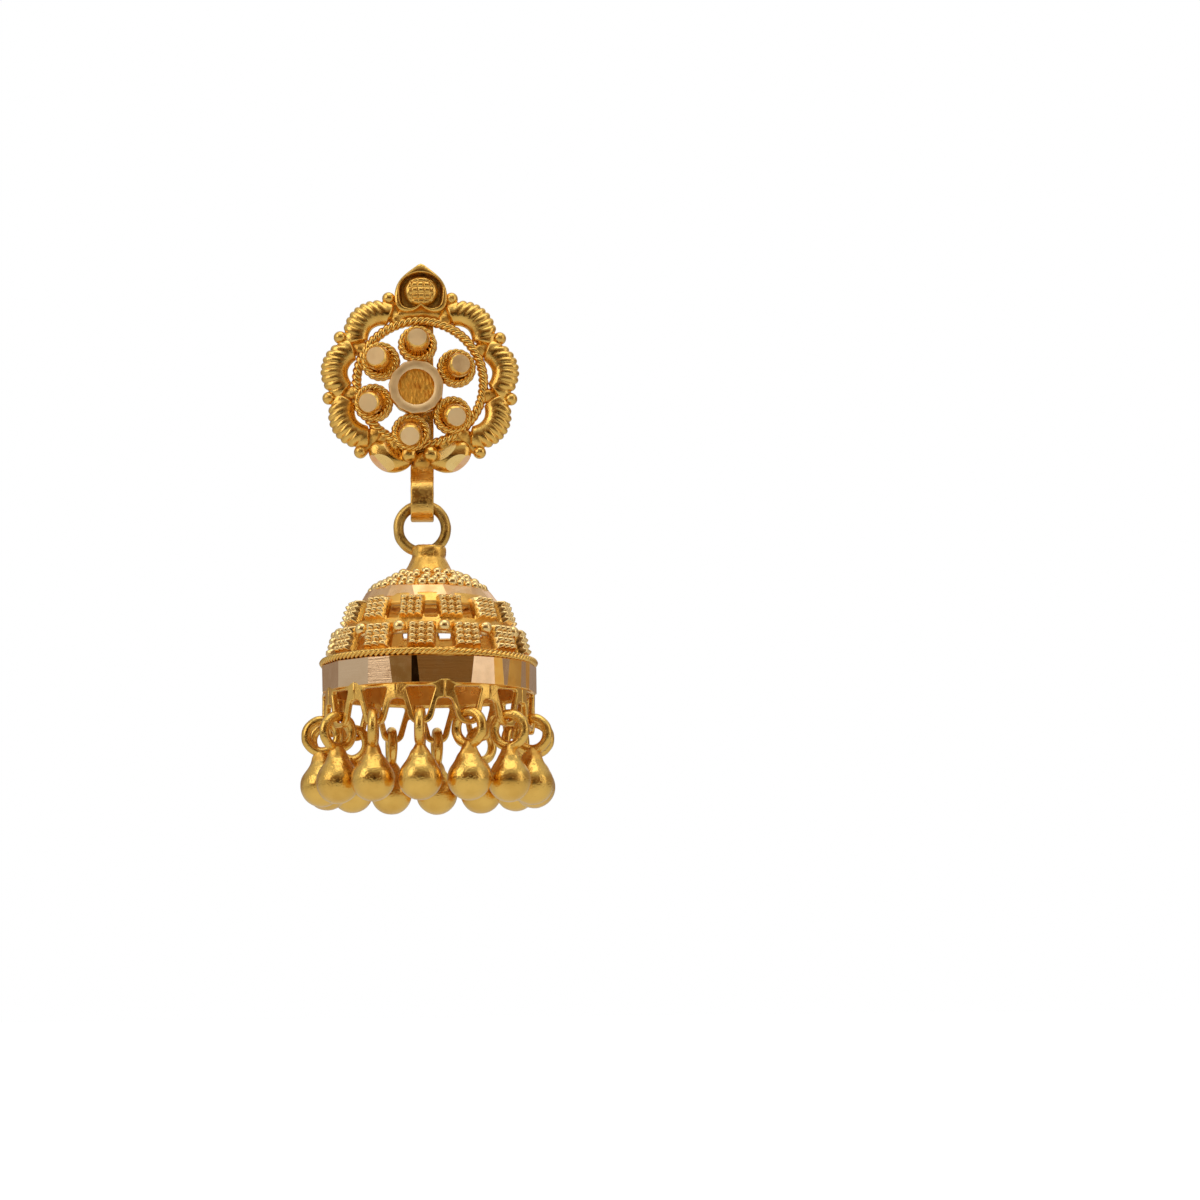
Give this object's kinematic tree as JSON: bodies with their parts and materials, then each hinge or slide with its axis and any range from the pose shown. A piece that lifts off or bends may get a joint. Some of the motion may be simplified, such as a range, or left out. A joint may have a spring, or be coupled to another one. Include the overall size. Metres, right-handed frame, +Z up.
{
  "type": "jhumka earring",
  "caption": "Gold jhumka earring: an openwork rosette stud with a strap loop, and a bell with granulated squares, a faceted rim and a fringe of round drops.",
  "frame": {"origin": "where the post leaves the back of the rosette, on the face that rests on the ear lobe", "axes": "+Z up as worn, +Y back through the ear lobe along the post, the ornamented front faces -Y"},
  "size_m": [0.019, 0.0197, 0.0418],
  "materials": {
    "gold_stud": "bright yellow gold, twisted wire and ribbed castings, pale diamond-cut facets",
    "gold_plain": "plain satin yellow gold",
    "gold_bell": "bright yellow gold with granulation and a mirror-cut rim",
    "gold_bead": "satin yellow gold with fine pitting"
  },
  "bodies": {
    "stud": {"rosette": "gold_stud", "ear_post": "gold_plain", "screw_back": "gold_plain"},
    "drop": {"dome": "gold_bell", "bead_drop_01": "gold_bead", "bead_drop_02": "gold_bead", "bead_drop_03": "gold_bead", "bead_drop_04": "gold_bead", "bead_drop_05": "gold_bead", "bead_drop_06": "gold_bead", "bead_drop_07": "gold_bead", "bead_drop_08": "gold_bead", "bead_drop_09": "gold_bead", "bead_drop_10": "gold_bead", "bead_drop_11": "gold_bead", "bead_drop_12": "gold_bead", "bead_drop_13": "gold_bead", "bead_drop_14": "gold_bead"}
  },
  "joints": [
    {"name": "drop_swing", "type": "hinge", "parent": "stud", "child": "drop", "pos_m": [0, -0.0013, -0.0096], "axis": [1, 0, 0], "range_deg": [-60, 60]}
  ]
}
